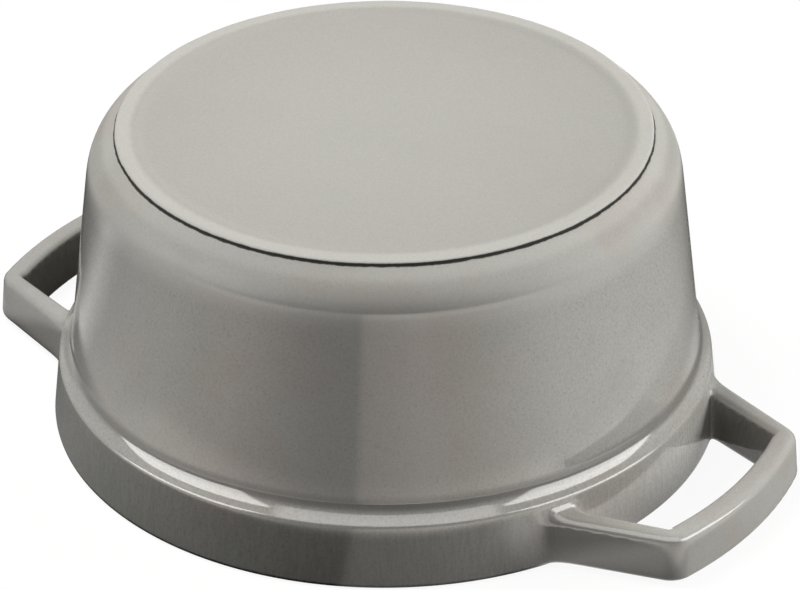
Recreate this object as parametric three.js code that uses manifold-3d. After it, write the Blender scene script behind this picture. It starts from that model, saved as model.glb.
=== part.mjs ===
// Enamelled cast-iron dutch oven, stored upside down on its rim with its lid lying in the mouth.
// Millimetres, +Z up. The origin is the centre of the rim circle, on the surface that the rim stands on.
// +X points along one handle. Profiles are lists of (radius, height) turned about Z.
import * as THREE from 'three';
import { mergeVertices } from 'three/addons/utils/BufferGeometryUtils.js';
import Module from 'manifold-3d';

const wasm = await Module();
wasm.setup();

// Pot
const rimRadius = 102.9; // outside of the rim band at the mouth
const potHeight = 96.2; // mouth to foot ring
const bandHeight = 14.5; // straight part of the thick rim band
const bandDraft = 1.7; // how much the band narrows over that height
const shoulderRise = 4.9; // sloping part above the band
const shoulderDraft = 1.85; // how much that slope narrows
const shoulderRound = 2.2; // convex edge at the top of the slope
const shoulderFillet = 5.2; // hollow between that edge and the wall
const shoulderTilt = THREE.MathUtils.degToRad(52); // steepest normal on the shoulder
const wallTilt = THREE.MathUtils.degToRad(7.2); // lean of the wall towards the base
const wallThickness = 3.8;
const cornerRound = 16.7; // wall to base, outside
const baseInset = 6.7; // foot of the base step inside the line of the wall
const baseStep = 1.6; // height of the step round the base
const baseStepRun = 0.6; // how far that step runs outwards
const baseThickness = 4.4;
const footWidth = 6.4; // flat ring that the pot stands on when upright
const footSlope = 2.0; // soft edge inside the ring
const baseRecess = 0.4; // base field below the ring
const rimRound = 1.0;
const lipThickness = 4.5; // band left outside the lid seat
const seatDepth = 10.5; // mouth to the ledge that the lid sits on

// Loop handles
const handleProjection = 30.6; // past the rim
const handleWidth = 67.2; // corner to corner at the outer end, before rounding
const handleSplay = THREE.MathUtils.degToRad(18); // how much each arm opens towards the pot
const handleBow = 125; // plan radius of the outer face of the grip
const handleInnerCorner = 1.1; // corner radius of the finger gap at its narrow side
const handleThickness = 10.4; // across the bar, at its wide side
const handleHeight = 15.2;
const handleLift = 0.6; // rim plane to the wide side
const handleOuterDraft = 1.4; // how much each face leans in over the height
const handleInnerDraft = 2.9;
const handleRound = 2.4; // long edges

// Lid
const lidSideGap = 0.8; // lid to pot, all round
const lidSeatGap = 0.5; // lid to ledge
const lidThickness = 4.25;
const lidRise = 14; // top of the flange to the flat under the knob
const lidCrown = 3.5; // rise of the top from its edge to its middle
const skirtDrop = 3.2; // skirt below the seat flange
const skirtWidth = 3.6;
const domeInset = 3.0; // raised top inside the skirt's outer face
const domeRound = 7.0;
const lidEdgeRound = 1.0;
const ringInset = 7.0; // outer raised ring in from the edge of the top
const ringPitch = 9.0;
const ringWidth = 3.0;
const ringHeight = 0.6;
const ringCount = 2;
const bumpRadius = 2.8;
const bumpTipRadius = 1.0;
const bumpDrop = 2.4;
const bumpSink = 0.8; // root of a bump inside the lid
const bumpInset = 19; // outer ring of bumps in from the edge of the top
const bumpRingPitch = 18;
const bumpRingCount = 3;
const bumpSpacing = 22; // along a ring

// Knob and its fastening
const knobHeight = 27;
const knobRadius = 19;
const knobHeadThickness = 11;
const knobHeadRound = 4.5;
const knobNeckRadius = 8.5;
const knobNeckFillet = 2.0;
const knobFootRadius = 11.5;
const knobFootThickness = 2.0;
const knobSeatMargin = 1.5; // flat on the lid round the knob's foot
const knobBoreDepth = 15;
const screwRadius = 3.0;
const screwGap = 0.35; // screw to the holes that it passes through
const screwTipGap = 2.0; // screw tip to the end of the knob's bore
const screwTipChamfer = 0.7;
const screwHeadRadius = 6.0;
const screwHeadHeight = 3.6;
const screwHeadRound = 1.4;
const screwSlotWidth = 1.4;
const screwSlotLength = 6.4;
const screwSlotDepth = 1.8;
const washerRadius = 8.5;
const washerThickness = 1.5;
const washerSeatMargin = 1.0; // flat under the lid round the washer
const stackGap = 0.05; // between faces that are screwed together

// Facets
const potSides = 60;
const lidSides = 48;
const knobSides = 28;
const screwSides = 18;
const bumpSides = 6;
const crownSteps = 3;
const handleSteps = 46;
const cutOver = 2; // how far a cutter runs past the face it opens

const point = (radius, height) => new THREE.Vector2(radius, height);

// Points of an arc about a centre, angles in radians from the radius axis towards +Z.
function arc(centre, radius, from, to, steps) {
  const points = [];
  for (let i = 0; i <= steps; i += 1) {
    const angle = from + ((to - from) * i) / steps;
    points.push(point(centre.x + radius * Math.cos(angle), centre.y + radius * Math.sin(angle)));
  }
  return points;
}

// A profile turned about Z.
function turned(profile, sides) {
  return new THREE.LatheGeometry(profile, sides).rotateX(Math.PI / 2);
}

function toSolid(geometry) {
  const bare = geometry.clone();
  bare.deleteAttribute('normal');
  bare.deleteAttribute('uv');
  const merged = mergeVertices(bare, 1e-4);
  const index = merged.index.array;
  const triangles = [];
  for (let i = 0; i < index.length; i += 3) {
    const [a, b, c] = index.slice(i, i + 3);
    if (a !== b && b !== c && c !== a) triangles.push(a, b, c);
  }
  return new wasm.Manifold(new wasm.Mesh({
    numProp: 3,
    vertProperties: new Float32Array(merged.attributes.position.array),
    triVerts: new Uint32Array(triangles),
  }));
}

function fromSolid(solid) {
  const mesh = solid.getMesh();
  const geometry = new THREE.BufferGeometry();
  geometry.setAttribute('position', new THREE.BufferAttribute(mesh.vertProperties, 3));
  geometry.setIndex(new THREE.BufferAttribute(mesh.triVerts, 1));
  geometry.computeVertexNormals();
  return geometry;
}

const recessRadius = rimRadius - lipThickness;
const innerBase = potHeight - baseRecess - baseThickness;
const wallNormal = point(Math.cos(wallTilt), Math.sin(wallTilt));
const wallRise = point(-Math.sin(wallTilt), Math.cos(wallTilt));

// The slope above the band and the hollow above that, from the rim upwards. The last point starts the wall.
function shoulder() {
  const bandTop = point(rimRadius - bandDraft, bandHeight);
  const slopeTop = point(bandTop.x - shoulderDraft, bandHeight + shoulderRise);
  const slopeTilt = Math.atan2(shoulderDraft, shoulderRise);
  const edgeCentre = point(
    slopeTop.x - shoulderRound * Math.cos(slopeTilt),
    slopeTop.y - shoulderRound * Math.sin(slopeTilt),
  );
  const edge = arc(edgeCentre, shoulderRound, slopeTilt, shoulderTilt, 2);
  const turn = edge[edge.length - 1];
  const hollowCentre = point(
    turn.x + shoulderFillet * Math.cos(shoulderTilt),
    turn.y + shoulderFillet * Math.sin(shoulderTilt),
  );
  const hollow = arc(hollowCentre, shoulderFillet, shoulderTilt + Math.PI, wallTilt + Math.PI, 4);
  return [bandTop, ...edge, ...hollow.slice(1)];
}

const shoulderPoints = shoulder();
const wallStart = shoulderPoints[shoulderPoints.length - 1];

// Radius of the wall's outer face at a height, and of its inner face.
function wallRadius(height) {
  return wallStart.x - (height - wallStart.y) * Math.tan(wallTilt);
}

function innerRadius(height) {
  return wallRadius(height) - wallThickness / Math.cos(wallTilt);
}

const stepFoot = point(wallRadius(potHeight - baseStep) - baseInset, potHeight - baseStep);
const baseRadius = stepFoot.x - baseStepRun;

// Outside corner: an arc that leaves the wall smoothly and ends at the foot of the base step.
function outerCorner() {
  const offset = wallStart.clone().addScaledVector(wallNormal, -cornerRound);
  const toFoot = stepFoot.clone().sub(offset);
  const along = toFoot.dot(wallRise);
  const across = toFoot.dot(wallNormal);
  const rise = along - Math.sqrt(cornerRound ** 2 - across ** 2);
  const centre = offset.addScaledVector(wallRise, rise);
  const end = Math.atan2(stepFoot.y - centre.y, stepFoot.x - centre.x);
  return arc(centre, cornerRound, wallTilt, end, 6);
}

function potBlank() {
  const rim = arc(point(rimRadius - rimRound, rimRound), rimRound, -Math.PI / 2, 0, 2);
  return turned([
    point(0, 0),
    ...rim,
    ...shoulderPoints,
    ...outerCorner(),
    point(baseRadius, potHeight - baseStepRun),
    point(baseRadius - baseStepRun, potHeight),
    point(baseRadius - footWidth, potHeight),
    point(baseRadius - footWidth - footSlope, potHeight - baseRecess),
    point(0, potHeight - baseRecess),
  ], potSides);
}

function potHollow() {
  const round = cornerRound - wallThickness;
  const cornerHeight = innerBase - round;
  const wallEnd = cornerHeight + round * Math.sin(wallTilt);
  const centre = point(innerRadius(wallEnd) - round * Math.cos(wallTilt), cornerHeight);
  return turned([
    point(0, -cutOver),
    point(recessRadius, -cutOver),
    point(recessRadius, seatDepth),
    point(innerRadius(seatDepth), seatDepth),
    ...arc(centre, round, wallTilt, Math.PI / 2, 4),
    point(0, innerBase),
  ], potSides);
}

// A plan path at a fixed height.
class LevelCurve extends THREE.Curve {
  constructor(plan, height) {
    super();
    this.plan = plan;
    this.height = height;
  }

  getPoint(t, target = new THREE.Vector3()) {
    const { x, y } = this.plan.getPoint(t);
    return target.set(x, y, this.height);
  }
}

// Centre line of the +X handle in plan, from its -Y arm round the grip to its +Y arm.
function handlePlan() {
  const half = handleThickness / 2;
  const reach = rimRadius + handleProjection;
  const grip = handleBow - half;
  const bowCentre = reach - handleBow;
  const corner = handleInnerCorner + half;
  const inward = point(-Math.sin(handleSplay), Math.cos(handleSplay));
  const outward = point(Math.cos(handleSplay), Math.sin(handleSplay));
  const armEnd = point(reach, -handleWidth / 2).addScaledVector(inward, half);
  const centre = armEnd.clone().addScaledVector(inward, corner).sub(point(bowCentre, 0));
  const along = centre.dot(outward);
  const slide = Math.sqrt(along ** 2 - centre.lengthSq() + (grip - corner) ** 2) - along;
  centre.addScaledVector(outward, slide);
  const gripAngle = Math.atan2(centre.y, centre.x);
  centre.x += bowCentre;
  const rootX = recessRadius - handleThickness; // inside the pot, where the hollow trims it
  const root = armEnd.addScaledVector(outward, (rootX - armEnd.x) / outward.x);
  const plan = new THREE.Path();
  plan.moveTo(root.x, root.y);
  plan.lineTo(centre.x - corner * inward.x, centre.y - corner * inward.y);
  plan.absarc(centre.x, centre.y, corner, handleSplay - Math.PI / 2, gripAngle, false);
  plan.absarc(bowCentre, 0, grip, gripAngle, -gripAngle, false);
  plan.absarc(centre.x, -centre.y, corner, -gripAngle, Math.PI / 2 - handleSplay, false);
  plan.lineTo(root.x, -root.y);
  return plan;
}

// Drafted bar section with rounded edges. Its x runs downwards and its y towards the finger gap.
function handleSection() {
  const half = handleThickness / 2;
  const low = handleHeight / 2;
  const corners = [
    point(low, -half),
    point(low, half),
    point(-low, half - handleInnerDraft),
    point(-low, -half + handleOuterDraft),
  ];
  const section = new THREE.Shape();
  corners.forEach((corner, i) => {
    const before = corners[(i + 3) % 4].clone().sub(corner).setLength(handleRound).add(corner);
    const after = corners[(i + 1) % 4].clone().sub(corner).setLength(handleRound).add(corner);
    if (i === 0) section.moveTo(before.x, before.y);
    else section.lineTo(before.x, before.y);
    section.quadraticCurveTo(corner.x, corner.y, after.x, after.y);
  });
  section.closePath();
  return section;
}

function handle() {
  const extrudePath = new LevelCurve(handlePlan(), handleLift + handleHeight / 2);
  return new THREE.ExtrudeGeometry(handleSection(), { steps: handleSteps, curveSegments: 2, extrudePath });
}

function pot() {
  const right = toSolid(handle());
  const left = toSolid(handle().rotateZ(Math.PI));
  const cast = toSolid(potBlank()).add(right).add(left);
  return fromSolid(cast.subtract(toSolid(potHollow())));
}

const flangeTop = seatDepth - lidSeatGap;
const lidHeight = flangeTop + lidRise;
const lidEdge = lidHeight - lidCrown;
const skirtRadius = innerRadius(seatDepth) - lidSideGap;
const domeRadius = skirtRadius - domeInset;
const topRadius = domeRadius - domeRound;
const knobSeatRadius = knobFootRadius + knobSeatMargin;
const holeRadius = screwRadius + screwGap;

// Height of the lid's top face: flat under the knob, then falling to the edge.
function lidTop(radius) {
  const out = Math.max(0, radius - knobSeatRadius) / (topRadius - knobSeatRadius);
  return lidHeight - lidCrown * out ** 2;
}

// Points of the crown from one radius to another, at a depth below the top face.
function crown(from, to, depth) {
  const points = [];
  for (let i = 0; i <= crownSteps; i += 1) {
    const radius = from + ((to - from) * i) / crownSteps;
    points.push(point(radius, lidTop(radius) - depth));
  }
  return points;
}

function lidRings() {
  const points = [];
  for (let i = ringCount - 1; i >= 0; i -= 1) {
    const middle = topRadius - ringInset - i * ringPitch;
    points.push(point(middle - ringWidth / 2, lidTop(middle)));
    points.push(point(middle, lidTop(middle) + ringHeight));
    points.push(point(middle + ringWidth / 2, lidTop(middle)));
  }
  return points;
}

function lidProfile() {
  const flangeRadius = recessRadius - lidSideGap;
  const washerSeat = lidHeight - lidThickness;
  const rings = lidRings();
  const domeCentre = point(topRadius, lidEdge - domeRound);
  const hollowRound = Math.max(domeRound - lidThickness, lidEdgeRound);
  return [
    point(holeRadius, washerSeat),
    point(holeRadius, lidHeight),
    ...crown(knobSeatRadius, rings[0].x, 0).slice(0, -1),
    ...rings,
    ...arc(domeCentre, domeRound, Math.PI / 2, 0, 4),
    point(domeRadius, flangeTop),
    point(flangeRadius - lidEdgeRound, flangeTop),
    point(flangeRadius, flangeTop - lidEdgeRound),
    point(flangeRadius, skirtDrop + lidEdgeRound),
    point(flangeRadius - lidEdgeRound, skirtDrop),
    point(skirtRadius, skirtDrop),
    point(skirtRadius, lidEdgeRound),
    point(skirtRadius - lidEdgeRound, 0),
    point(skirtRadius - skirtWidth, 0),
    ...arc(domeCentre, hollowRound, 0, Math.PI / 2, 2).slice(0, -1),
    ...crown(topRadius, knobSeatRadius, lidThickness),
    point(washerRadius + washerSeatMargin, washerSeat),
    point(holeRadius, washerSeat),
  ].reverse();
}

// One basting bump, hanging from the underside of the lid.
function bump(radius, angle) {
  const length = bumpDrop + bumpSink;
  const tip = lidTop(radius) - lidThickness - bumpDrop;
  return new THREE.CylinderGeometry(bumpRadius, bumpTipRadius, length, bumpSides)
    .rotateX(Math.PI / 2)
    .translate(radius * Math.cos(angle), radius * Math.sin(angle), tip + length / 2);
}

function lid() {
  let solid = toSolid(turned(lidProfile(), lidSides));
  for (let ring = 0; ring < bumpRingCount; ring += 1) {
    const radius = topRadius - bumpInset - ring * bumpRingPitch;
    const count = Math.round((2 * Math.PI * radius) / bumpSpacing);
    for (let i = 0; i < count; i += 1) {
      solid = solid.add(toSolid(bump(radius, (2 * Math.PI * i) / count)));
    }
  }
  return fromSolid(solid);
}

// The knob stands on its own foot at height 0.
function knob() {
  const round = Math.min(knobHeadRound, knobHeadThickness / 2);
  const underside = knobHeight - knobHeadThickness;
  const lip = arc(point(knobRadius - round, underside + round), round, -Math.PI / 2, 0, 3);
  const head = arc(point(knobRadius - round, knobHeight - round), round, 0, Math.PI / 2, 4);
  return turned([
    point(0, knobBoreDepth),
    point(holeRadius, knobBoreDepth),
    point(holeRadius, 0),
    point(knobFootRadius, 0),
    point(knobFootRadius, knobFootThickness),
    point(knobNeckRadius, knobFootThickness + knobFootRadius - knobNeckRadius),
    point(knobNeckRadius, underside - knobNeckFillet),
    point(knobNeckRadius + knobNeckFillet, underside),
    ...lip,
    ...head,
    point(0, knobHeight),
  ], knobSides);
}

// The screw's head bears on the washer at height 0, with the shank above it.
function screw() {
  const length = washerThickness + lidThickness + 3 * stackGap + knobBoreDepth - screwTipGap;
  const headCentre = point(screwHeadRadius - screwHeadRound, screwHeadRound - screwHeadHeight);
  let solid = toSolid(turned([
    point(0, -screwHeadHeight),
    ...arc(headCentre, screwHeadRound, -Math.PI / 2, 0, 3),
    point(screwHeadRadius, 0),
    point(screwRadius, 0),
    point(screwRadius, length - screwTipChamfer),
    point(screwRadius - screwTipChamfer, length),
    point(0, length),
  ], screwSides));
  [0, Math.PI / 2].forEach((turn) => {
    const slot = new THREE.BoxGeometry(screwSlotLength, screwSlotWidth, 2 * screwSlotDepth)
      .rotateZ(turn)
      .translate(0, 0, -screwHeadHeight);
    solid = solid.subtract(toSolid(slot));
  });
  return fromSolid(solid);
}

// The washer's lower face is at height 0.
function washer() {
  return turned([
    point(holeRadius, 0),
    point(washerRadius, 0),
    point(washerRadius, washerThickness),
    point(holeRadius, washerThickness),
    point(holeRadius, 0),
  ], knobSides);
}

function piece(name, geometry, finish, height = 0) {
  const mesh = new THREE.Mesh(geometry, new THREE.MeshStandardMaterial(finish));
  mesh.name = name;
  mesh.position.z = height;
  return mesh;
}

const enamel = { color: 0xa3a29d, roughness: 0.25, metalness: 0 };
const satinSteel = { color: 0xc6c3bc, roughness: 0.3, metalness: 1 };
const plainSteel = { color: 0x9b9b99, roughness: 0.4, metalness: 1 };
const washerFoot = lidHeight - lidThickness - stackGap - washerThickness;

const lidSet = new THREE.Group();
lidSet.add(
  piece('lid', lid(), enamel),
  piece('lid_knob', knob(), satinSteel, lidHeight + stackGap),
  piece('knob_washer', washer(), plainSteel, washerFoot),
  piece('knob_screw', screw(), plainSteel, washerFoot - stackGap),
);

const dutchOven = new THREE.Group();
dutchOven.add(piece('pot', pot(), enamel), lidSet);

export default dutchOven;
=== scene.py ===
import math
import bmesh
import bpy
from mathutils import Matrix, Vector, noise


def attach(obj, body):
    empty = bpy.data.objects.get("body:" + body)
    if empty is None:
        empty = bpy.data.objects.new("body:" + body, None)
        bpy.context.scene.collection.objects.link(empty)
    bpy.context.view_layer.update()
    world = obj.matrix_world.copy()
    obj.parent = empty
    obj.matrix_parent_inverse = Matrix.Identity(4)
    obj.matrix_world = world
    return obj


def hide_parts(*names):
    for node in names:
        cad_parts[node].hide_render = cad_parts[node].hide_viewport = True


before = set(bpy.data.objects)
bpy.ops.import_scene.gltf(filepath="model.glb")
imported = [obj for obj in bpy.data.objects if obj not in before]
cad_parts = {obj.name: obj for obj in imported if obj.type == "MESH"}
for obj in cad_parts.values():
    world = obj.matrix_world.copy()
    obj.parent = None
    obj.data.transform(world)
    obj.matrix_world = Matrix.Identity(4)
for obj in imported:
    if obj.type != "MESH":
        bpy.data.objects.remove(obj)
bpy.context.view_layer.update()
scene = bpy.context.scene
mm = 0.001

# Camera, from the fit of the pot's outlines

cameraSetup = {
    "target": (0, 0, 0.050),
    "distance": 1.1037,
    "elevation": 31.08,
    "azimuth": 35.6,
    "yaw": -0.23,
    "pitch": -0.62,
    "roll": 0.32,
    "lens": 163.125,
    "sensor": 36,
}


def fromCamera(x, y, z=0):  # x to the right of the picture, y away from the camera, in plan
    return Matrix.Rotation(math.radians(cameraSetup["azimuth"]), 3, "Z") @ Vector((x, y, z))


def makeCamera(setup):
    lift = math.radians(setup["elevation"])
    back = fromCamera(0, -math.cos(lift), math.sin(lift))
    right = fromCamera(1, 0)
    up = back.cross(right)
    turn = Matrix.Rotation(math.radians(setup["yaw"]), 3, up)
    turn = turn @ Matrix.Rotation(math.radians(setup["pitch"]), 3, right)
    place = Vector(setup["target"]) + setup["distance"] * back
    back, right, up = turn @ back, turn @ right, turn @ up
    roll = Matrix.Rotation(math.radians(setup["roll"]), 3, -back)
    axes = Matrix((roll @ right, roll @ up, back)).transposed()
    data = bpy.data.cameras.new("camera")
    data.lens, data.sensor_width, data.sensor_fit = setup["lens"], setup["sensor"], "HORIZONTAL"
    camera = bpy.data.objects.new("camera", data)
    camera.matrix_world = Matrix.Translation(place) @ axes.to_4x4()
    scene.collection.objects.link(camera)
    scene.camera = camera


makeCamera(cameraSetup)
print("camera placed")

# Shader maths


class Shade:  # a socket, with its tree, that takes part in expressions
    def __init__(self, tree, socket=None):
        self.tree, self.socket = tree, socket

    def node(self, kind, settings=None, sockets=None, out=0):
        made = self.tree.nodes.new(kind)
        for name, value in (settings or {}).items():
            if name == "stops":
                while len(made.color_ramp.elements) < len(value):
                    made.color_ramp.elements.new(1)
                for element, (at, colour) in zip(made.color_ramp.elements, value):
                    element.position, element.color = at, colour
            else:
                setattr(made, name, value)
        for name, value in (sockets or {}).items():
            if isinstance(value, Shade):
                self.tree.links.new(value.socket, made.inputs[name])
            else:
                made.inputs[name].default_value = value
        return Shade(self.tree, made.outputs[out] if made.outputs else None)

    def also(self, out):  # another output of the same node
        return Shade(self.tree, self.socket.node.outputs[out])

    def maths(self, operation, first, second=0.0):
        return self.node("ShaderNodeMath", {"operation": operation}, {0: first, 1: second})

    def __add__(self, other): return self.maths("ADD", self, other)
    def __radd__(self, other): return self.maths("ADD", other, self)
    def __sub__(self, other): return self.maths("SUBTRACT", self, other)
    def __rsub__(self, other): return self.maths("SUBTRACT", other, self)
    def __mul__(self, other): return self.maths("MULTIPLY", self, other)
    def __rmul__(self, other): return self.maths("MULTIPLY", other, self)
    def __truediv__(self, other): return self.maths("DIVIDE", self, other)
    def __rtruediv__(self, other): return self.maths("DIVIDE", other, self)

    def ramp(self, low, high, start=0.0, end=1.0):  # smooth step from low to high
        return self.node("ShaderNodeMapRange", {"interpolation_type": "SMOOTHSTEP", "clamp": True},
                         {"Value": self, "From Min": low, "From Max": high,
                          "To Min": start, "To Max": end})

    def mix(self, first, second):  # colours, by this factor
        return self.node("ShaderNodeMix", {"data_type": "RGBA", "clamp_factor": True},
                         {0: self, 6: first, 7: second}, out=2)

    def noise(self, scale, detail, roughness, shift=(0, 0, 0), stretch=(1, 1, 1)):
        spot = self.node("ShaderNodeMapping", None,
                         {"Vector": self, "Scale": stretch, "Location": shift})
        return self.node("ShaderNodeTexNoise", {"noise_dimensions": "3D"},
                         {"Vector": spot, "Scale": scale, "Detail": detail, "Roughness": roughness})


def srgb(red, green, blue):  # 0 to 255, as a screen shows it
    def linear(value):
        value /= 255
        return value / 12.92 if value <= 0.04045 else ((value + 0.055) / 1.055) ** 2.4
    return (linear(red), linear(green), linear(blue), 1)


def emptyMaterial(name):
    material = bpy.data.materials.new(name)
    material.use_nodes = True
    material.node_tree.nodes.clear()
    return material, Shade(material.node_tree)


def newMaterial(name):
    material, shade = emptyMaterial(name)
    spot = shade.node("ShaderNodeTexCoord", out=3)  # object coordinates, in metres
    inMm = shade.node("ShaderNodeVectorMath", {"operation": "SCALE"}, {0: spot, "Scale": 1000.0})
    return material, shade, inMm


def split(shade, spot):  # radius from the axis, and height, in mm
    flat = shade.node("ShaderNodeVectorMath", {"operation": "MULTIPLY"}, {0: spot, 1: (1, 1, 0)})
    radius = shade.node("ShaderNodeVectorMath", {"operation": "LENGTH"}, {0: flat}, out=1)
    height = shade.node("ShaderNodeSeparateXYZ", None, {"Vector": spot}, out=2)
    return radius, height


def finishMaterial(shade, sockets, bump, depth):
    sockets["Normal"] = shade.node("ShaderNodeBump", None,
                                   {"Height": bump, "Distance": depth * mm, "Strength": 1.0})
    surface = shade.node("ShaderNodeBsdfPrincipled", None, sockets)
    shade.node("ShaderNodeOutputMaterial", None, {"Surface": surface})


enamelLook = {
    "grey": srgb(187, 186, 181),
    "warm": srgb(178, 166, 158),
    "cool": srgb(168, 173, 166),
    "dark": srgb(120, 116, 110),  # specks, flecks and grain, and painted shade on the base
    "base": srgb(190, 189, 184),
    "paleWearAndHighlight": srgb(212, 211, 206),  # worn paler on the foot ring; painted highlight just outside the step and over the upper corner
    # streaked glaze on the band; its darkness is partly painted shade low on the pot
    "band": srgb(138, 137, 132),
    "pooled": srgb(84, 81, 77),  # painted shade, in the hollow at the foot of the wall and inside the handle loops
    "line": srgb(26, 25, 23),  # bare edge round the base
    "rough": 0.42,  # under the gloss, and alone on the base
    "specular": 0.2,
    "glossRough": 0.06,
    "glossIor": 1.6,
    "bumpDepth": 0.09,
    # noises: scale, detail, roughness, shift, stretch
    "warmCloud": (0.028, 3, 0.6),
    "coolCloud": (0.021, 3, 0.6, (91, 37, 12)),
    "speck": (1.25, 3, 0.65),
    "grain": (2.2, 2, 0.6, (7, 3, 50)),
    "streak": (1.3, 3, 0.6, (0, 0, 0), (1, 1, 0.03)),
    "ragged": (0.35, 3, 0.6, (5, 44, 9)),
    "waves": (0.16, 2, 0.5),
    # zones: from none to all, heights and radii in mm
    "wornOut": (106, 101),
    "wornTop": (92, 80),
    "baseFoot": (94.9, 95.6),
    "baseOut": (81.4, 80.8),
    # painted shade, darker towards the base's edge
    "baseShade": (20, 76),
    "bandTop": (19.8, 17.6),
    "bandOut": (104.5, 103.2),
    "lineFoot": (94.75, 95.0),
    "lineTop": (96.0, 95.7),
    "lineIn": (79.9, 80.2),
    "lineOut": (81.2, 80.8),
    "footRing": (74.4, 76.8),
    # painted highlight on the edge outside the step and over the upper corner
    "edgeFoot": (91.0, 93.0),
    "cornerFoot": (77.0, 82.5),
    "cornerTop": (91.0, 86.0),
    "cornerIn": (80.0, 84.0),
    # painted shade in the hollow between the shoulder and the wall
    "hollowShadeFoot": (22.6, 24.2),
    "hollowShadeTop": (28.0, 25.2),
    "hollowShadeIn": (94.5, 95.5),
    "rimEdge": (1.5, 0.7),
    "glossTop": (87.0, 82.5),  # fades over the corner
    # noise levels, from none to all
    "warmCut": (0.46, 0.66),
    "coolCut": (0.48, 0.68),
    "speckCut": (0.34, 0.66),
    "fleckCut": (0.60, 0.74),
    "baseSpeckCut": (0.4, 0.7),
    "grainCut": (0.3, 0.75),
    "streakCut": (0.4, 0.64, 0.02, 0.32),
    # how much of each tone is mixed in, and what it adds to the roughness and the bump
    "share": {"warm": 0.4, "cool": 0.5, "worn": 0.6, "speck": 0.26, "fleck": 0.42, "base": 0.8,
              "baseShade": 0.08, "baseSpeck": 0.07, "foot": 0.55, "edge": 0.28, "corner": 0.45,
              "grain": 0.15, "pooled": 0.7, "sheltered": 0.6, "shelteredStreak": 0.3, "line": 0.95},
    "roughShare": {"speck": 0.15, "line": 0.2, "base": 0.5},
    "bumpShare": {"waves": 0.5, "speck": 0.1, "baseSpeck": 0.5, "baseGrain": 0.25, "streak": 0.12},
    "ragShare": {"lineFoot": 0.7, "lineTop": -0.3, "lineIn": 0.5, "lineOut": 0.8, "rimEdge": 0.7},
}


def greyEnamel(name, look, isPot):
    material, shade, spot = newMaterial(name)
    radius, height = split(shade, spot)

    def tone(key):
        return spot.noise(*look[key])

    def zone(along, key, ragged=None):  # by height or radius, with an uneven edge if given
        return (along if ragged is None else along + ragged).ramp(*look[key])

    share, rougher, raised = look["share"], look["roughShare"], look["bumpShare"]
    speck, streak = tone("speck"), tone("streak")
    worn = zone(radius, "wornOut") * zone(height, "wornTop")  # fewer specks on corner and handles
    worn = worn * share["worn"] + (1 - share["worn"])
    warm, cool = tone("warmCloud").ramp(*look["warmCut"]), tone("coolCloud").ramp(*look["coolCut"])
    colour = (warm * share["warm"]).mix(look["grey"], look["warm"])
    colour = (cool * share["cool"]).mix(colour, look["cool"])
    for key in ("speck", "fleck"):
        colour = (speck.ramp(*look[key + "Cut"]) * worn * share[key]).mix(colour, look["dark"])
    rough = look["rough"] + speck * rougher["speck"]
    bump = tone("waves") * raised["waves"] + speck * raised["speck"]
    gloss = 1.0
    if isPot:
        grain, ragged = tone("grain"), tone("ragged") - 0.5
        rag = {key: ragged * amount for key, amount in look["ragShare"].items()}
        base = zone(height, "baseFoot") * zone(radius, "baseOut")
        band = zone(height, "bandTop") * zone(radius, "bandOut")
        line = zone(height, "lineFoot", rag["lineFoot"]) * zone(height, "lineTop", rag["lineTop"])
        line = line * zone(radius, "lineIn", rag["lineIn"]) * zone(radius, "lineOut", rag["lineOut"])
        foot = zone(radius, "footRing", ragged) * base
        edge = zone(height, "edgeFoot", ragged) * (1 - base)
        corner = zone(height, "cornerFoot") * zone(height, "cornerTop") * zone(radius, "cornerIn")
        # painted shade in the hollow at the foot of the wall
        pooled = zone(height, "hollowShadeFoot") * zone(height, "hollowShadeTop") * zone(radius, "hollowShadeIn")
        rimEdge = zone(height, "rimEdge", rag["rimEdge"])
        sheltered = shade.node("ShaderNodeAttribute", {"attribute_name": "sheltered"}, out=2)
        # painted shade, darker towards the base's edge, with dark specks
        baseShadeAndSpecks = zone(radius, "baseShade") * share["baseShade"]
        baseShadeAndSpecks = baseShadeAndSpecks + speck.ramp(*look["baseSpeckCut"]) * share["baseSpeck"]
        # the foot ring is worn paler; the edge outside the step and the upper corner get painted
        # highlight where they face the light
        paleWearAndHighlight = foot * share["foot"] + edge * share["edge"] + corner * share["corner"]
        # painted shade: streaked inside the handle loops, and in the hollow at the foot of the wall
        shadeAmount = sheltered * (share["sheltered"] + streak * share["shelteredStreak"])
        shadeAmount = pooled * share["pooled"] + shadeAmount
        colour = (base * share["base"]).mix(colour, look["base"])
        colour = (base * baseShadeAndSpecks).mix(colour, look["dark"])
        colour = paleWearAndHighlight.mix(colour, look["paleWearAndHighlight"])
        # the band's streaks are glaze, and its darkening is partly painted shade
        colour = (band * streak.ramp(*look["streakCut"])).mix(colour, look["band"])
        colour = (grain.ramp(*look["grainCut"]) * share["grain"]).mix(colour, look["dark"])
        colour = shadeAmount.mix(colour, look["pooled"])
        colour = (line * share["line"]).mix(colour, look["line"])
        colour = rimEdge.mix(colour, look["line"])
        rough = rough + line * rougher["line"] + base * rougher["base"]
        bump = bump + speck * base * raised["baseSpeck"] + grain * base * raised["baseGrain"]
        bump = bump + streak * band * raised["streak"]
        gloss = zone(height, "glossTop")
    sockets = {"Base Color": colour, "Roughness": rough, "Specular IOR Level": look["specular"],
               "Coat Weight": gloss, "Coat Roughness": look["glossRough"],
               "Coat IOR": look["glossIor"]}
    finishMaterial(shade, sockets, bump, look["bumpDepth"])
    return material


blackLook = {
    "black": srgb(38, 37, 36),
    "paler": srgb(70, 68, 65),
    "rough": 0.5,
    "bumpDepth": 0.12,
    "fleck": (1.1, 3, 0.65),
    "fleckCut": (0.55, 0.75),
    "peel": (0.35, 3, 0.55, (20, 5, 8)),
}


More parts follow.
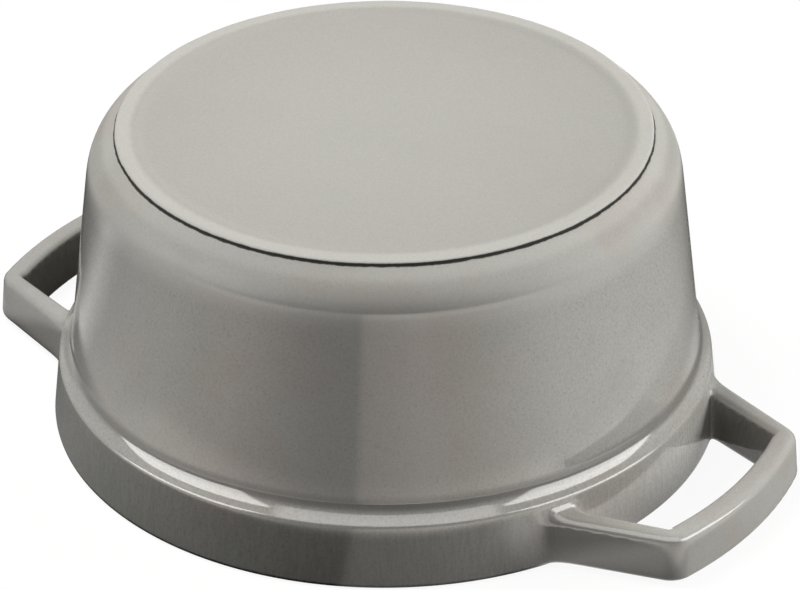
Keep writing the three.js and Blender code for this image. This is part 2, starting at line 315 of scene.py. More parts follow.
def blackEnamel(look):
    material, shade, spot = newMaterial("blackEnamel")
    fleck, peel = spot.noise(*look["fleck"]), spot.noise(*look["peel"])
    colour = (fleck.ramp(*look["fleckCut"]) * 0.5).mix(look["black"], look["paler"])
    finishMaterial(shade, {"Base Color": colour, "Roughness": look["rough"] + fleck * 0.15},
                   peel * 0.7 + fleck * 0.5, look["bumpDepth"])
    return material


# pitch is that of the turning marks
knobLook = {"metal": srgb(206, 203, 197), "shade": srgb(176, 172, 165), "rough": 0.24, "pitch": 3.2}
screwLook = {"metal": srgb(186, 184, 180), "shade": srgb(150, 147, 141), "rough": 0.32, "pitch": 5.0}


def turnedMetal(name, look):
    material, shade, spot = newMaterial(name)
    radius, height = split(shade, spot)
    rings = shade.node("ShaderNodeCombineXYZ", None,
                       {"X": radius * look["pitch"], "Y": height * look["pitch"], "Z": 0.0})
    cut = rings.noise(1.0, 4, 0.7)
    smear = spot.noise(0.12, 3, 0.6)
    colour = (cut.ramp(0.35, 0.7) * 0.6).mix(look["metal"], look["shade"])
    rough = look["rough"] + cut * 0.12 + smear * 0.1
    finishMaterial(shade, {"Base Color": colour, "Roughness": rough, "Metallic": 1.0}, cut, 0.012)
    return material


greyCoat = greyEnamel("greyEnamel", enamelLook, True)
lidCoat = greyEnamel("lidEnamel", enamelLook, False)
blackCoat = blackEnamel(blackLook)
knobMetal = turnedMetal("knobMetal", knobLook)
screwMetal = turnedMetal("screwMetal", screwLook)
print("materials made")

# Pieces, drawn in mm


def arcPoints(centre, radius, start, end, steps):  # degrees from the radius axis towards +Z
    angles = [math.radians(start + (end - start) * i / steps) for i in range(steps + 1)]
    return [(centre[0] + radius * math.cos(angle), centre[1] + radius * math.sin(angle))
            for angle in angles]


def turnFrom(point, angle, distance):  # a step from a profile point at an angle
    turn = math.radians(angle)
    return point[0] + distance * math.cos(turn), point[1] + distance * math.sin(turn)


def drawProfile(bm, points, closed=False):
    verts = [bm.verts.new((radius, 0, height)) for radius, height in points]
    nexts = verts[1:] + verts[:1] if closed else verts[1:]
    return verts, [bm.edges.new(pair) for pair in zip(verts, nexts)]


def spinProfile(bm, verts, edges, steps, angle=360):
    bmesh.ops.spin(bm, geom=verts + edges, cent=(0, 0, 0), axis=(0, 0, 1),
                   angle=math.radians(angle), steps=steps, use_merge=angle == 360)


def mergeDoubles(bm, verts):
    bmesh.ops.remove_doubles(bm, verts=verts, dist=1e-4)


def newVerts(grown):
    return [item for item in grown if isinstance(item, bmesh.types.BMVert)]


def finishPiece(bm, name, materials, body, node, levels=1):
    mergeDoubles(bm, bm.verts[:])
    bmesh.ops.recalc_face_normals(bm, faces=bm.faces[:])
    bmesh.ops.scale(bm, vec=(mm, mm, mm), verts=bm.verts[:])
    for face in bm.faces:
        face.smooth = True
    mesh = bpy.data.meshes.new(name)
    bm.to_mesh(mesh)
    bm.free()
    for material in materials:
        mesh.materials.append(material)
    piece = bpy.data.objects.new(name, mesh)
    scene.collection.objects.link(piece)
    if levels:
        smooth = piece.modifiers.new("smooth", "SUBSURF")
        smooth.levels = smooth.render_levels = levels
    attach(piece, body)
    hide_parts(node)
    print(name, len(mesh.polygons), "faces before smoothing")
    return piece


# Pot: one casting, turned profile with two loop handles drawn out of its band

potSize = {
    "steps": 45,  # to a quarter turn
    "floorRows": (0, 25, 50, 66),
    "floorHeight": 91.4,
    "innerCentre": (72.75, 78.5),
    "innerRound": 12.9,
    "innerRows": (64, 46, 28, 16, 11.6),
    "seat": ((94.5168, 10.95), (94.75, 10.62), (95.2, 10.5), (96.4, 10.5), (97.6, 10.5), (98.2, 10.3),
             (98.4, 9.8), (98.4, 5.5), (98.4, 1.4)),  # for the lid
    "rim": ((98.45, 0.7), (98.7, 0.25), (99.2, 0.03), (99.9, 0), (101.3, 0), (101.9, 0.02),
            (102.4, 0.14), (102.68, 0.42)),
    "rimRadius": 102.87,
    "bandDraft": 1.7,
    "bandHeight": 14.5,
    "bandRows": (0.95, 2.0, 3.2, 8.0, 12.4, 14.1, 18.3),
    "shoulderFoot": 19.4,
    "shoulderTilt": 52,
    "shoulderRound": 1.8,
    "hollowRound": 9.6,
    "wall": 3.8,
    "wallTilt": 7.2,
    "wallStart": (96.68, 23.8),
    "wallRows": (30.5, 36, 44, 53, 62, 70, 77, 81),
    "cornerCentre": (72.7, 80.0),
    "cornerRound": 16.7,
    "cornerEnd": 58,
    "step": ((81.22, 94.45), (80.95, 94.62), (80.68, 94.86), (80.52, 95.3), (80.42, 95.72),
             (80.2, 96.02), (79.8, 96.17), (79.2, 96.2)),
    "base": ((77.5, 96.2), (75.2, 96.2), (74.2, 96.16), (73.2, 96.02), (72.2, 95.87), (71.2, 95.81),
             (69.5, 95.8), (55, 95.8), (36, 95.8), (16, 95.8), (0, 95.8)),
    "wobble": 0.14,  # unevenness of the step round the base
    "wobbleFrom": (79, 81.4, 94),  # inner and outer radius, height
    "wobbleScales": (0.11, 0.4),
    "blackTop": 91.5,  # the inside and the rim's inner half are black
    "blackSeat": (10.4, 98.6),
    "blackRim": 101.5,
}
handleSize = {
    "columns": (18, 30),  # root on the band, degrees from +X
    "reach": 133.22,
    "halfWidth": 33.6,  # at the reach, before rounding
    "splay": 18,
    "bow": 125,
    "corner": 9.0,
    "root": 10.4,  # thickness at the wide side, where the arm leaves the band
    "arm": 9.5,
    "bar": 11.3,
    "low": 0.6,
    "high": 15.8,
    "outerDraft": 1.45,
    "armDraft": 2.6,  # of the inner face
    "barDraft": 3.1,
    "lowRound": 2.6,
    "highRound": 2.3,
    "innerRound": 1.6,
    "outerFillet": 6.5,  # how far along the arm the root's hollow runs
    "innerFillet": 5.0,
    "rise": 3.6,  # of the arm's top where it runs into the shoulder
    "riseRows": {6: 1, 5: 0.3},
    "bulge": 0.56,  # the band's own curve near the root
    "bulgeSide": 0.4,
    "rootShares": (0.25, 0.5, 0.75, 1.0),
    "armShares": (0.2, 0.4, 0.6, 0.8, 0.93),
    "cornerSteps": 9,
    "barSteps": 7,
}
lastCell = 6  # the root is a grid of rows and columns 0 to 6


def bandRadius(height):
    return potSize["rimRadius"] - potSize["bandDraft"] * height / potSize["bandHeight"]


def wallRadius(height):
    radius, start = potSize["wallStart"]
    return radius - (height - start) * math.tan(math.radians(potSize["wallTilt"]))


def innerRadius(height):
    return wallRadius(height) - potSize["wall"] / math.cos(math.radians(potSize["wallTilt"]))


def shoulderProfile(size):  # over the band's top, then hollow up to the wall
    foot, edge, tilt = size["shoulderFoot"], size["shoulderTilt"], size["wallTilt"]
    draft = math.degrees(math.atan(size["bandDraft"] / size["bandHeight"]))
    centre = turnFrom((bandRadius(foot), foot), draft, -size["shoulderRound"])
    shoulder = arcPoints(centre, size["shoulderRound"], draft, edge, 4)
    centre = turnFrom(shoulder[-1], edge, size["hollowRound"])
    hollow = arcPoints(centre, size["hollowRound"], 180 + edge, 180 + tilt, 6)[1:]
    slide = math.tan(math.radians(tilt)) * math.cos(math.radians(edge))
    radius, height = hollow[-1]
    slope = (radius - wallRadius(height)) / (math.sin(math.radians(edge)) - slide)
    return shoulder + [turnFrom(point, edge + 90, slope) for point in hollow]  # touches the wall


def potProfile(size):  # from the middle of the inside to the middle of the base
    tilt = size["wallTilt"]
    inner = [(radius, size["floorHeight"]) for radius in size["floorRows"]]
    inner += arcPoints(size["innerCentre"], size["innerRound"], 90, tilt, 6)
    inner += [(innerRadius(height), height) for height in size["innerRows"]]
    inner += [*size["seat"], *size["rim"]]
    outer = [(bandRadius(height), height) for height in size["bandRows"]] + shoulderProfile(size)
    outer += [(wallRadius(height), height) for height in size["wallRows"]]
    outer += arcPoints(size["cornerCentre"], size["cornerRound"], tilt, size["cornerEnd"], 7)
    outer += [*size["step"], *size["base"]]
    return inner, outer


def handleSection(thickness, innerDraft):  # (row, column) to (inset from the outer face, height)
    size = handleSize
    low, high = size["low"], size["high"]

    def outer(height):
        return size["outerDraft"] * (height - low) / (high - low)

    def inner(height):
        return thickness - innerDraft * (height - low) / (high - low)

    def place(row, column, angle):  # on a rounded edge, and the same on the inner side
        turn, isLow = math.radians(angle), row < lastCell / 2
        for isInner in (False, True):
            radius = size["lowRound"] if isLow else size["innerRound" if isInner else "highRound"]
            inset, drop = radius * (1 - math.cos(turn)), radius * (1 - math.sin(turn))
            height = low + drop if isLow else high - drop
            if isInner:
                section[row, lastCell - column] = (inner(height) - inset, height)
            else:
                section[row, column] = (outer(height) + inset, height)

    section = {}
    for row, angle in ((0, 45), (1, 22.5), (2, 0), (4, 0), (5, 22.5), (6, 45)):
        place(row, 0, angle)
    for row in (0, lastCell):
        place(row, 1, 67.5)
        place(row, 2, 90)
        section[row, 3] = ((section[row, 2][0] + section[row, 4][0]) / 2, section[row, 2][1])
    middle = (low + high) / 2
    section[3, 0], section[3, lastCell] = (outer(middle), middle), (inner(middle), middle)
    return section


def bezier(first, second, third, share):
    return first.lerp(second, share).lerp(second.lerp(third, share), share)


def unitAt(turn):
    return Vector((math.cos(turn), math.sin(turn)))


def between(first, last, share):
    return first + (last - first) * share


def handleStations(rowRadius):
    # for each: outer and inner plan points by row, thickness, inner draft, nearness to the root
    size = handleSize
    rows = len(rowRadius)
    splay = math.radians(size["splay"])
    along = Vector((math.cos(splay), -math.sin(splay)))
    inward = Vector((-math.sin(splay), -math.cos(splay)))
    bowCentre = Vector((size["reach"] - size["bow"], 0))
    corner = Vector((size["reach"], size["halfWidth"])) + inward * size["corner"]
    gap = corner - bowCentre
    inBow = size["bow"] - size["corner"]
    slide = math.sqrt(gap.dot(along) ** 2 - gap.length_squared + inBow ** 2)
    corner += along * (slide - gap.dot(along))  # along the arm until it touches the bow
    armEnd = corner - inward * size["corner"]
    innerLine, innerRoot = armEnd + inward * size["arm"], armEnd + inward * size["root"]
    start, end = (unitAt(math.radians(angle)) for angle in size["columns"])

    def onBand(line, radius):  # where a line along the arm meets the band
        inside = line.dot(along)
        return line + along * (math.sqrt(inside ** 2 - line.length_squared + radius ** 2) - inside)

    outerRoots, innerRoots, stations = [], [], []
    for radius in rowRadius:
        outerFoot, innerFoot = onBand(armEnd, radius), onBand(innerRoot, radius)
        outerRoots.append((end * radius, outerFoot, outerFoot + along * size["outerFillet"]))
        innerRoots.append((start * radius, innerFoot, innerFoot + along * size["innerFillet"]))
    for share in size["rootShares"]:
        outers = [bezier(*root, share) for root in outerRoots]
        inners = [bezier(*root, share) for root in innerRoots]
        stations.append((outers, inners, size["root"], size["armDraft"], 1 - share))
    for share in size["armShares"]:
        outers = [root[2].lerp(armEnd, share) for root in outerRoots]
        inners = [root[2].lerp(innerLine, share) for root in innerRoots]
        stations.append((outers, inners, between(size["root"], size["arm"], share),
                         size["armDraft"], 0))
    first = math.atan2(-inward.y, -inward.x)
    last = math.atan2(corner.y, corner.x - bowCentre.x)
    for i in range(size["cornerSteps"] + 1):
        share = i / size["cornerSteps"]
        ray = unitAt(between(first, last, share))
        thickness = between(size["arm"], size["bar"], share)
        outer = corner + ray * size["corner"]
        stations.append(([outer] * rows, [outer - ray * thickness] * rows, thickness,
                         between(size["armDraft"], size["barDraft"], share), 0))
    for i in range(1, size["barSteps"] + 1):
        ray = unitAt(last * (1 - i / size["barSteps"]))
        outer = bowCentre + ray * size["bow"]
        stations.append(([outer] * rows, [outer - ray * size["bar"]] * rows, size["bar"],
                         size["barDraft"], 0))
    return stations


def drawHandle(bm, bandRows):
    size = handleSize
    start, end = size["columns"]
    rowLayer = bm.verts.layers.int.new("row")
    columnLayer = bm.verts.layers.int.new("column")
    loopShadeLayer = bm.verts.layers.float.new("sheltered")  # painted shade, 1 on the inner faces within the loop
    root = set()
    for vert in bm.verts:
        turn = math.degrees(math.atan2(vert.co.y, vert.co.x))
        radius = math.hypot(vert.co.x, vert.co.y)
        for row, (bandR, bandH) in enumerate(bandRows):
            near = abs(vert.co.z - bandH) < 0.01 and abs(radius - bandR) < 0.01
            if near and start - 0.1 < turn < end + 0.1:
                vert[rowLayer] = row
                vert[columnLayer] = round((end - turn) / (end - start) * lastCell)
                root.add(vert)
    faces = [face for face in bm.faces if all(vert in root for vert in face.verts)]
    stations = handleStations([radius for radius, height in bandRows])
    for outers, inners, thickness, draft, nearness in stations:
        section = handleSection(thickness, draft)
        cap = (thickness / 2, 8.0)  # cells inside the outline, which go at the end
        grown = bmesh.ops.extrude_face_region(bm, geom=faces)["geom"]
        bmesh.ops.delete(bm, geom=[face for face in faces if face.is_valid], context="FACES_ONLY")
        faces = [item for item in grown if isinstance(item, bmesh.types.BMFace)]
        for vert in newVerts(grown):
            row, column = vert[rowLayer], vert[columnLayer]
            inset, height = section.get((row, column), cap)
            share = inset / thickness
            spot = outers[row].lerp(inners[row], share)
            bulge = size["bulge"] * nearness * 4 * share * (1 - share)
            rise = size["rise"] * nearness ** 2 * size["riseRows"].get(row, 0)
            vert.co = (spot.x + bulge, spot.y + bulge * size["bulgeSide"], height + rise)
            # the inner faces within the loop get painted shade, fading towards the root
            isInside = column == lastCell and 1 <= row <= 4
            vert[loopShadeLayer] = 1 - nearness if isInside else 0
    bmesh.ops.delete(bm, geom=faces, context="FACES")


def isBlack(size, radius, height):
    if height > size["blackTop"]:
        return False
    seatHeight, seatRadius = size["blackSeat"]
    if radius < (innerRadius(height) + 0.5 if height > seatHeight else seatRadius):
        return True
    return height < 0.01 and radius < size["blackRim"]


def makePot(size):
    bm = bmesh.new()
    inner, outer = potProfile(size)
    spinProfile(bm, *drawProfile(bm, inner + outer), size["steps"], 90)
    mergeDoubles(bm, bm.verts[:])
    drawHandle(bm, outer[:len(size["bandRows"])])
    for axis in "YX":
        bmesh.ops.mirror(bm, geom=bm.verts[:] + bm.edges[:] + bm.faces[:], matrix=Matrix(),
                         merge_dist=1e-4, axis=axis)
    mergeDoubles(bm, bm.verts[:])
    wobbleIn, wobbleOut, wobbleFoot = size["wobbleFrom"]
    slow, quick = size["wobbleScales"]
    for vert in bm.verts:
        radius = math.hypot(vert.co.x, vert.co.y)
        if wobbleIn < radius < wobbleOut and vert.co.z > wobbleFoot:
            push = noise.noise(vert.co * slow) + 0.5 * noise.noise(vert.co * quick)
            vert.co.xy *= 1 + size["wobble"] * push / radius
    for face in bm.faces:
        middle = face.calc_center_median()
        face.material_index = int(isBlack(size, math.hypot(middle.x, middle.y), middle.z))
    finishPiece(bm, "potBody", [greyCoat, blackCoat], "pot", "pot")


makePot(potSize)

# Lid: turned casting with raised rings on top and basting bumps below

lidSize = {
    "steps": 96,
    "top": 24.0,
    "crown": 3.5,
    "seat": 13.0,  # flat under the knob
    "topRadius": 83.74,
    "thickness": 4.25,
    "topRows": (3.35, 8, 12.4, 16, 28, 40, 52, 62),  # from the screw's hole
    "rings": (67.74, 76.74),
    "ringHalf": 1.5,
    "ringHeight": 0.6,
    "ringShape": ((-1.45, 0), (-1.0, 0.08), (-0.72, 0.62), (-0.3, 0.98), (0.3, 0.98), (0.72, 0.62),
                  (1.0, 0.08), (1.45, 0)),
    "domeFrom": 81.2,
    "domeCentre": (83.74, 13.5),
    "domeRound": 7.0,
    "foot": ((90.74, 11.6), (90.86, 10.7), (91.2, 10.2), (91.9, 10.02), (93, 10), (96, 10)),
    "edge": ((97.0, 9.92), (97.45, 9.55), (97.6, 8.9), (97.6, 6.5), (97.6, 4.2), (97.45, 3.6),
             (97.0, 3.25), (96.2, 3.2)),
    "greyEdge": 5,  # points of the edge above the black
    "skirt": ((94.8, 3.2), (94.1, 3.1), (93.8, 2.75), (93.74, 2.2), (93.7, 0.9), (93.45, 0.3),
              (92.9, 0.03), (92, 0), (91, 0), (90.5, 0.12), (90.15, 0.6), (89.9, 1.4), (88.4, 6.5)),
    "hollowRound": 2.75,
    "underRows": (80, 70, 58, 46, 34, 22, 14, 10, 3.35),
    "bumpRings": ((64.74, 18), (46.74, 13), (28.74, 8)),  # radius and count
    "bumpSteps": 10,
    "bump": ((4.4, 0.4), (3.5, -0.12), (2.75, -0.75), (2.1, -1.6), (1.35, -2.2), (0.6, -2.4),
             (0, -2.42)),
}


def lidTop(radius):
    out = max(0, radius - lidSize["seat"]) / (lidSize["topRadius"] - lidSize["seat"])
    return lidSize["top"] - lidSize["crown"] * out ** 2


def lidProfile(size):  # from the hole's top edge round to its lower edge
    top = [(radius, lidTop(radius)) for radius in size["topRows"]]
    for ring in size["rings"]:
        for shift, lift in size["ringShape"]:
            radius = ring + shift * size["ringHalf"]
            top.append((radius, lidTop(radius) + lift * size["ringHeight"]))
    top.append((size["domeFrom"], lidTop(size["domeFrom"])))
    top += arcPoints(size["domeCentre"], size["domeRound"], 90, 0, 7) + [*size["foot"]]
    under = arcPoints(size["domeCentre"], size["hollowRound"], 8, 82, 4)
    under += [(radius, lidTop(radius) - size["thickness"]) for radius in size["underRows"]]
    return [*top, *size["edge"], *size["skirt"], *under], len(top) + size["greyEdge"]


def makeLid(size):
    bm = bmesh.new()
    layer = bm.verts.layers.int.new("place")
    points, blackFrom = lidProfile(size)
    verts, edges = drawProfile(bm, points, closed=True)
    for i, vert in enumerate(verts):
        vert[layer] = i
    spinProfile(bm, verts, edges, size["steps"])
    for face in bm.faces:
        face.material_index = int(min(vert[layer] for vert in face.verts) >= blackFrom)
    for radius, count in size["bumpRings"]:
        root = lidTop(radius) - size["thickness"]
        for i in range(count):
            turn = Matrix.Rotation(2 * math.pi * i / count, 3, "Z")
            before = set(bm.verts)
            shape = [(r, root + z) for r, z in size["bump"]]
            spinProfile(bm, *drawProfile(bm, shape), size["bumpSteps"])
            mergeDoubles(bm, [vert for vert in bm.verts if vert not in before])
            made = [vert for vert in bm.verts if vert not in before]
            for vert in made:
                vert.co = turn @ (vert.co + Vector((radius, 0, 0)))
            for face in {face for vert in made for face in vert.link_faces}:
                face.material_index = 1
    finishPiece(bm, "lidBody", [lidCoat, blackCoat], "lid", "lid")


makeLid(lidSize)

# Knob, washer and screw

knobSize = {
    "foot": 24.05,
    "steps": 64,
    "points": ((3.35, 14.9), (3.35, 8), (3.35, 0.0), (9.5, 0.0), (10.9, 0.0), (11.3, 0.12), (11.5, 0.5),
               (11.5, 1.4), (11.3, 1.85), (10.7, 2.2), (9.6, 2.9), (8.9, 3.9), (8.5, 5.6), (8.4, 8.0),
               (8.45, 10.5), (8.7, 12.4), (9.3, 13.9), (10.4, 15.1), (12, 15.75), (14, 16.0),
               (15.2, 16.2), (16.8, 16.9), (18.1, 18.1), (18.8, 19.6), (19.0, 21.2), (19.0, 22.4),
               (18.75, 23.9), (18.0, 25.3), (16.8, 26.25), (15.6, 26.62), (15.05, 26.7), (14.8, 26.62),
               (14.6, 26.42), (14.3, 26.36), (14.0, 26.42), (13.8, 26.64), (13.5, 26.74), (12.6, 26.8),
               (8, 26.93), (3.5, 26.98), (0, 27.0)),
}
washerSize = {
    "foot": 18.2,
    "steps": 48,
    "points": ((3.4, 0.25), (3.6, 0.04), (3.9, 0), (7.6, 0), (8.2, 0.05), (8.45, 0.28), (8.5, 0.6),
               (8.5, 0.95), (8.42, 1.25), (8.1, 1.45), (7.6, 1.5), (3.9, 1.5), (3.6, 1.46), (3.4, 1.25)),
}


def makeTurned(name, size, material, node, closed):
    bm = bmesh.new()
    points = [(radius, size["foot"] + height) for radius, height in size["points"]]
    spinProfile(bm, *drawProfile(bm, points, closed), size["steps"])
    finishPiece(bm, name, [material], "lid", node)


makeTurned("knobBody", knobSize, knobMetal, "lid_knob", False)
makeTurned("washerBody", washerSize, screwMetal, "knob_washer", True)

screwSize = {
    "seat": 18.15,
    "segments": 48,
    "face": 4.6,  # flat of the head
    "faceDrop": -3.6,
    "slotLength": 3.2,  # half
    "slotWidth": 0.7,  # half
    "slotDepth": 1.8,
    "rings": ((5.2, -3.5), (5.62, -3.22), (5.88, -2.8), (6.0, -2.2), (6.0, -0.5), (5.9, -0.1), (5.5, 0),
              (3.1, 0), (3.0, 0.2), (3.0, 18.2), (2.3, 18.9)),
    "sharpFrom": 38,
}


def makeScrew(size):
    bm = bmesh.new()
    bmesh.ops.create_circle(bm, cap_ends=True, segments=size["segments"], radius=size["face"])
    long, wide = size["slotLength"], size["slotWidth"]
    for axis in ((1, 0, 0), (0, 1, 0)):
        for offset in (long, wide, -wide, -long):
            bmesh.ops.bisect_plane(bm, geom=bm.verts[:] + bm.edges[:] + bm.faces[:],
                                   plane_co=Vector(axis) * offset, plane_no=axis)
    bmesh.ops.translate(bm, verts=bm.verts[:], vec=(0, 0, size["faceDrop"]))
    rim = [edge for edge in bm.edges if edge.is_boundary]
    slot = []
    for face in bm.faces:
        middle = face.calc_center_median()
        across, along = sorted((abs(middle.x), abs(middle.y)))
        if across < wide and along < long:
            slot.append(face)
    sunk = bmesh.ops.extrude_face_region(bm, geom=slot)["geom"]
    bmesh.ops.delete(bm, geom=slot, context="FACES_ONLY")
    bmesh.ops.translate(bm, verts=newVerts(sunk), vec=(0, 0, size["slotDepth"]))
    for radius, height in size["rings"]:
        grown = bmesh.ops.extrude_edge_only(bm, edges=rim)["geom"]
        rim = [item for item in grown if isinstance(item, bmesh.types.BMEdge)]
        for vert in newVerts(grown):
            vert.co.xy = vert.co.xy.normalized() * radius
            vert.co.z = height
    bmesh.ops.contextual_create(bm, geom=rim)
    bmesh.ops.translate(bm, verts=bm.verts[:], vec=(0, 0, size["seat"]))
    piece = finishPiece(bm, "screwBody", [screwMetal], "lid", "knob_screw", 0)
    piece.data.set_sharp_from_angle(angle=math.radians(size["sharpFrom"]))


makeScrew(screwSize)
print("lid set made")

# Floor, reflections and light


def stageObject(name, bm, material):
    mesh = bpy.data.meshes.new(name)
    bm.to_mesh(mesh)
    bm.free()
    mesh.materials.append(material)
    made = bpy.data.objects.new(name, mesh)
    scene.collection.objects.link(made)
    return made


def lightRays(shade):  # camera, glossy and transmission rays
    path = shade.node("ShaderNodeLightPath")
    return path, path.also(3), path.also(6)


floorLook = {"half": 4.0, "cells": 8, "drop": -0.0003, "glow": 0.93, "soak": srgb(80, 80, 80)}


def makeFloor(look):
    material, shade = emptyMaterial("paleFloor")
    camera, glossy, through = lightRays(shade)
    seen = camera + glossy + through
    glow = shade.node("ShaderNodeEmission", None,
                      {"Color": (1, 1, 1, 1), "Strength": seen * look["glow"]})
    plain = shade.node("ShaderNodeBsdfDiffuse", None, {"Color": look["soak"]})
    both = shade.node("ShaderNodeAddShader", None, {0: glow, 1: plain})
    shade.node("ShaderNodeOutputMaterial", None, {"Surface": both})
    bm = bmesh.new()
    bmesh.ops.create_grid(bm, x_segments=look["cells"], y_segments=look["cells"], size=look["half"])
    bmesh.ops.translate(bm, verts=bm.verts[:], vec=(0, 0, look["drop"]))
    stageObject("floor", bm, material)


cardLook = {  # distances in metres from the pot's axis, turns in degrees from the front
    "half": 6.0,
    "segments": 64,
    "strength": 2.4,
    "near": (0.139, 0.152),  # where the far lights take over
    "left": (-62, -78),
    "right": (38, 46),
    "shift": 0.012,  # of that limit, nearer on the left and farther on the right
    "shelf": (0.185, 0.160),  # brighter strip beyond the limit
    "shelfGain": 0.5,
    "strip": (0.135, 0.122),  # brighter close to the pot on the right
    "stripGain": 2.0,
    "haze": (0.45, 0.85),  # brighter towards the horizon
    "hazeGain": 0.5,
    "behind": (104.4, 122.4),
    "back": (0.33, 0.45),  # the limit behind the pot
    "plain": (1.01, 1.0, 0.98),
    "warm": (1.09, 1.0, 0.91),
    # turn, level and warmth
    "farLights": ((-128, 0.05, 0), (-108, 0.4, 0), (-96, 0.22, 0), (-70, 0.57, 0.6), (-45, 0.65, 1),
                  (-20, 0.47, 0.2), (-8.2, 0.45, 0), (-6.6, 0.74, 0.8), (10, 0.9, 0.8), (20, 0.76, 1),
                  (52, 0.73, 0.2), (88, 0.2, 0), (118, 0.04, 0)),
    "nearLights": ((-120, 0.02, 0), (-75, 0.08, 0), (-40, 0.04, 0), (-8.2, 0.03, 0), (-6.6, 0.27, 0.2),
                   (22, 0.17, 0.2), (28, 0.6, 0.2), (36, 0.36, 0.2), (50, 0.16, 0), (118, 0.02, 0)),
}


def showOnlyReflected(card):
    card.visible_camera = card.visible_diffuse = card.visible_shadow = False
    card.visible_transmission = card.visible_volume_scatter = False


def makeTableCard(look):  # lies on the floor and glows only in reflections: a painted shadow near the pot, painted reflected light beyond
    material, shade = emptyMaterial("tableCard")
    spot = shade.node("ShaderNodeTexCoord", out=3)
    turned = shade.node("ShaderNodeMapping", {"vector_type": "POINT"},
                        {"Vector": spot, "Rotation": (0, 0, -math.radians(cameraSetup["azimuth"]))})
    across = shade.node("ShaderNodeSeparateXYZ", None, {"Vector": turned})
    reach = shade.node("ShaderNodeVectorMath", {"operation": "LENGTH"}, {0: turned}, out=1)
    angle = shade.maths("ARCTAN2", across, 0 - across.also(1)) / (2 * math.pi) + 0.5

    def share(turn):  # of the full circle, from the back
        return turn / 360 + 0.5

    def tint(level, warmth):
        pairs = zip(look["plain"], look["warm"])
        return (*(level * between(plain, warm, warmth) for plain, warm in pairs), 1)

    def lights(key):
        stops = [(share(turn), tint(level, warmth)) for turn, level, warmth in look[key]]
        return shade.node("ShaderNodeValToRGB", {"stops": stops}, {"Fac": angle})

    def sector(key):
        return angle.ramp(*(share(turn) for turn in look[key]))

    left, right = sector("left"), sector("right")
    behind = shade.maths("ABSOLUTE", angle - 0.5).ramp(*(turn / 360 for turn in look["behind"]))
    limit = reach + (left - right) * look["shift"]
    # dark near the pot as a painted shadow, brighter beyond as painted reflected light
    beyond = limit.ramp(*look["near"])
    far = beyond * (1 - behind) + reach.ramp(*look["back"]) * behind
    shelf = beyond * limit.ramp(*look["shelf"]) * (1 - left) * (1 - right)
    strip = right * reach.ramp(*look["strip"])
    haze = reach.ramp(*look["haze"])
    gain = shelf * look["shelfGain"] + strip * look["stripGain"] + haze * look["hazeGain"] + 1
    glow = shade.node("ShaderNodeEmission", None,
                      {"Color": far.mix(lights("nearLights"), lights("farLights")),
                       "Strength": gain * look["strength"]})
    shade.node("ShaderNodeOutputMaterial", None, {"Surface": glow})
    bm = bmesh.new()
    bmesh.ops.create_circle(bm, cap_ends=True, segments=look["segments"], radius=look["half"])
    bmesh.ops.translate(bm, verts=bm.verts[:], vec=(0, 0, floorLook["drop"] / 2))
    showOnlyReflected(stageObject("tableCard", bm, material))


sideCorners = ((-0.44, -0.58, 0.66), (-0.71, -0.70, 0.16), (-0.99, 0.12, 0.06), (-0.87, -0.04, 0.46))
lightCards = {  # corners in the camera's plan, before the distance
    "distance": 1.2,
    "cuts": 14,
    "tint": (1.0, 0.985, 0.96, 1),
    "cards": (
        ("sideCardLeft", 7.4, sideCorners),
        ("sideCardRight", 7.4, tuple((-x, y, z) for x, y, z in sideCorners)),
        ("frontCard", 3.2, ((-0.54, -0.72, 0.45), (0.54, -0.72, 0.45), (0.37, -0.18, 0.92),
                            (-0.37, -0.18, 0.92))),
    ),
}


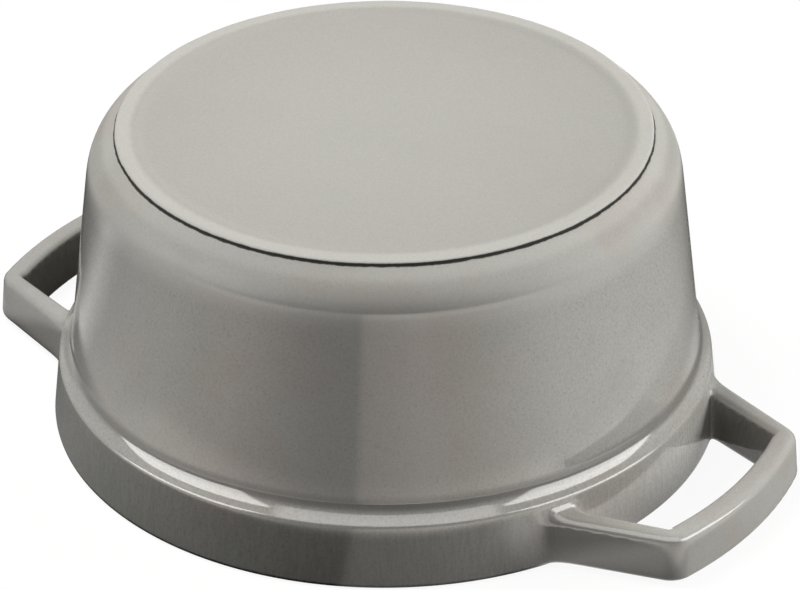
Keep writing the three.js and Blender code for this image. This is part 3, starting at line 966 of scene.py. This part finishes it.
def makeLightCards(look):  # long lights beside the pot, and a dimmer one over the camera
    for name, strength, corners in look["cards"]:
        material, shade = emptyMaterial(name)
        fade = shade.node("ShaderNodeAttribute", {"attribute_name": "fade"}, out=2)
        glow = shade.node("ShaderNodeEmission", None,
                          {"Color": look["tint"], "Strength": fade * strength})
        shade.node("ShaderNodeOutputMaterial", None, {"Surface": glow})
        bm = bmesh.new()
        fadeLayer = bm.verts.layers.float.new("fade")
        places = [fromCamera(*corner) * look["distance"] for corner in corners]
        bm.faces.new([bm.verts.new(place) for place in places])
        bmesh.ops.subdivide_edges(bm, edges=bm.edges[:], cuts=look["cuts"], use_grid_fill=True)
        for vert in bm.verts:  # soft edges
            vert[fadeLayer] = 0 if vert.is_boundary else 1
        showOnlyReflected(stageObject(name, bm, material))


worldLook = {"ambient": 0.05, "reflected": 0.5}


def makeWorld(look):
    world = bpy.data.worlds.new("studio")
    scene.world = world
    world.use_nodes = True
    world.node_tree.nodes.clear()
    shade = Shade(world.node_tree)
    camera, glossy, through = lightRays(shade)
    seen = shade.maths("MINIMUM", camera + through, 1.0)  # white behind the object
    strength = look["ambient"] + seen * (1 - look["ambient"]) + glossy * look["reflected"]
    sky = shade.node("ShaderNodeBackground", None, {"Color": (1, 1, 1, 1), "Strength": strength})
    shade.node("ShaderNodeOutputWorld", None, {"Surface": sky})


lampSetup = {  # places in the camera's plan, sizes in metres, power in watts
    "aim": (0, 0, 0.05),
    "tint": (1.0, 0.99, 0.97),
    "lamps": (
        {"name": "softboxRight", "at": (1.06, 0.0, 0.335), "size": (0.6, 0.5), "watts": 10.3},
        {"name": "softboxLeft", "at": (-0.45, 0.08, 1.163), "size": (0.5, 0.5), "watts": 12.5},
    ),
}


def makeLamps(setup):
    aim = fromCamera(*setup["aim"])
    for lampSize in setup["lamps"]:
        data = bpy.data.lights.new(lampSize["name"], "AREA")
        data.shape, data.size, data.size_y = "RECTANGLE", *lampSize["size"]
        data.energy, data.color = lampSize["watts"], setup["tint"]
        lamp = bpy.data.objects.new(lampSize["name"], data)
        lamp.location = fromCamera(*lampSize["at"])
        lamp.rotation_mode = "QUATERNION"
        lamp.rotation_quaternion = (aim - lamp.location).to_track_quat("-Z", "Y")
        lamp.visible_camera = lamp.visible_glossy = False  # the light cards show in their place
        scene.collection.objects.link(lamp)


makeFloor(floorLook)
makeTableCard(cardLook)
makeLightCards(lightCards)
makeWorld(worldLook)
makeLamps(lampSetup)
scene.view_settings.view_transform = "Standard"
print("floor and lamps placed")
